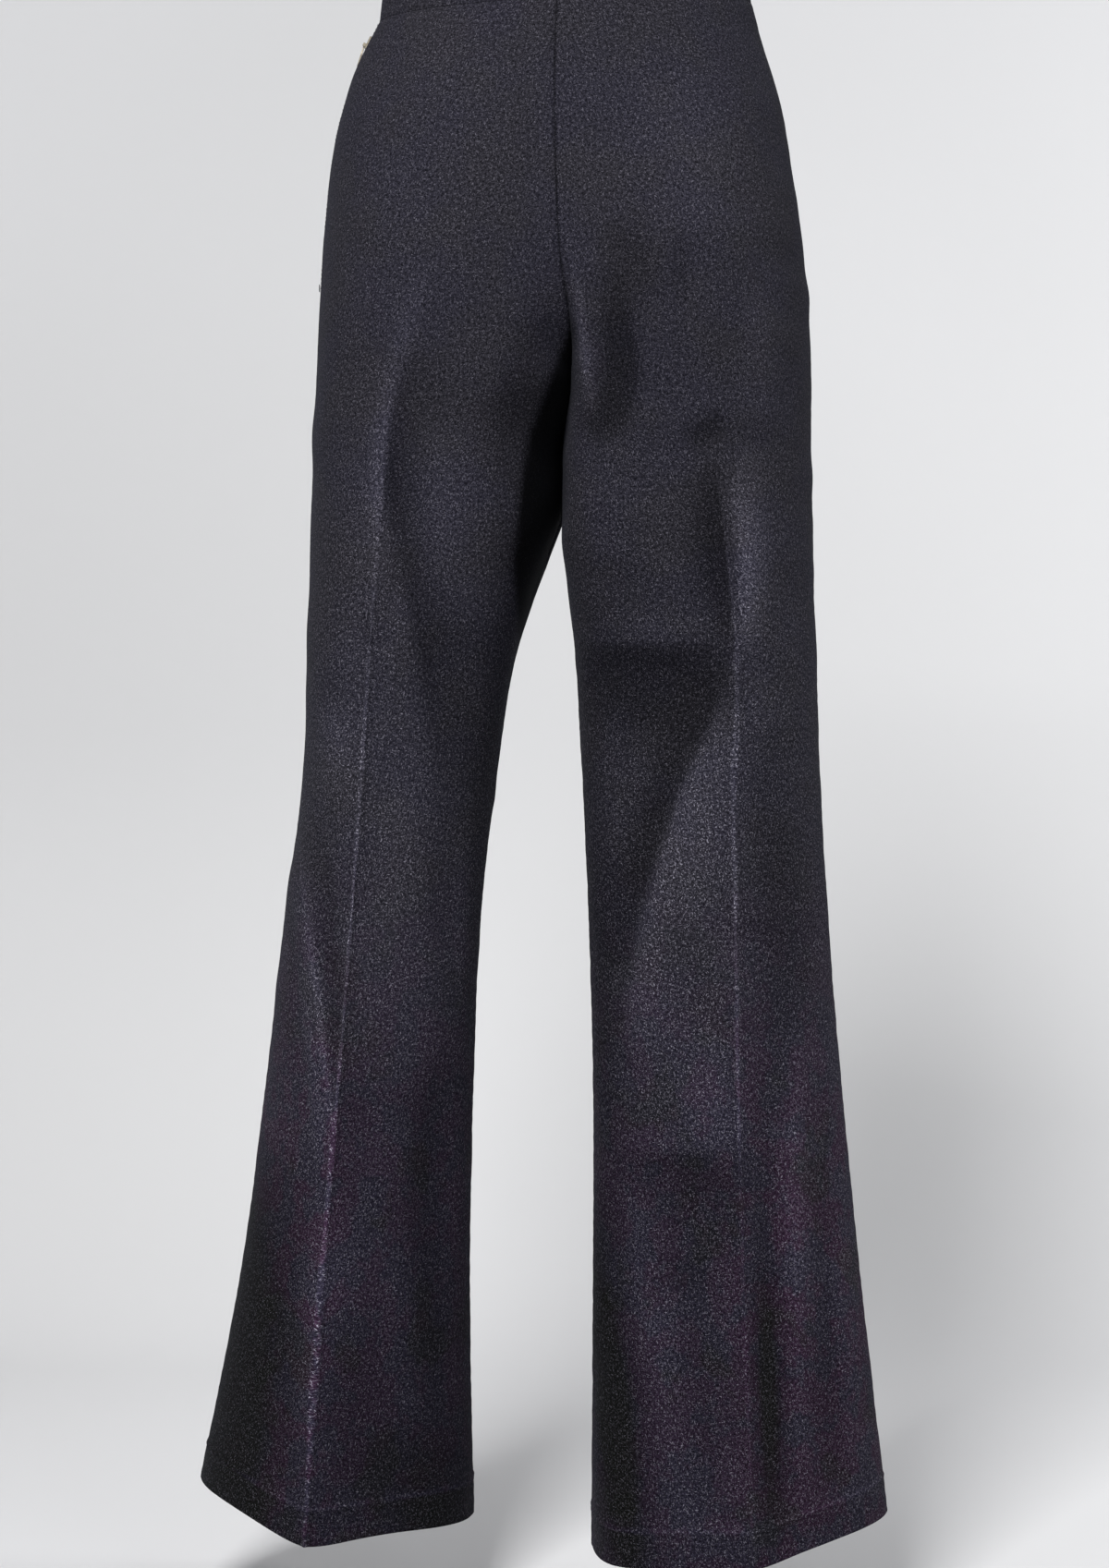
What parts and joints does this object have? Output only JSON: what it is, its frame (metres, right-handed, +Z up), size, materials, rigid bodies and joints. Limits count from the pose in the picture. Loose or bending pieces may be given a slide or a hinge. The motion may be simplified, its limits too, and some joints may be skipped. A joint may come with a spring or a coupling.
{
  "type": "wool trousers",
  "caption": "High-waisted flared wool trousers with pressed creases, turned-up hems and a side zip, in the hollow form they take when worn.",
  "frame": {"origin": "centre of the waistband at mid height, on the wearer's body axis", "axes": "+Z up, the back of the garment faces -Y and its front +Y, the wearer's left is -X and right +X"},
  "size_m": [0.4825, 0.273, 1.0978],
  "materials": {
    "wool": "matt napped wool melange",
    "button": "satin horn look",
    "zip": "dull antique metal"
  },
  "bodies": {
    "root": {"back_left": "wool", "back_right": "wool", "front_left": "wool", "front_right": "wool", "waistband": "wool", "waist_button": "button", "zip_slider": "zip"},
    "pull": {"zip_pull": "zip"}
  },
  "joints": [
    {"name": "pull_swing", "type": "hinge", "parent": "root", "child": "pull", "pos_m": [-0.13867, 0.003, -0.03665], "axis": [0, 1, 0], "range_deg": [0, 150]}
  ]
}
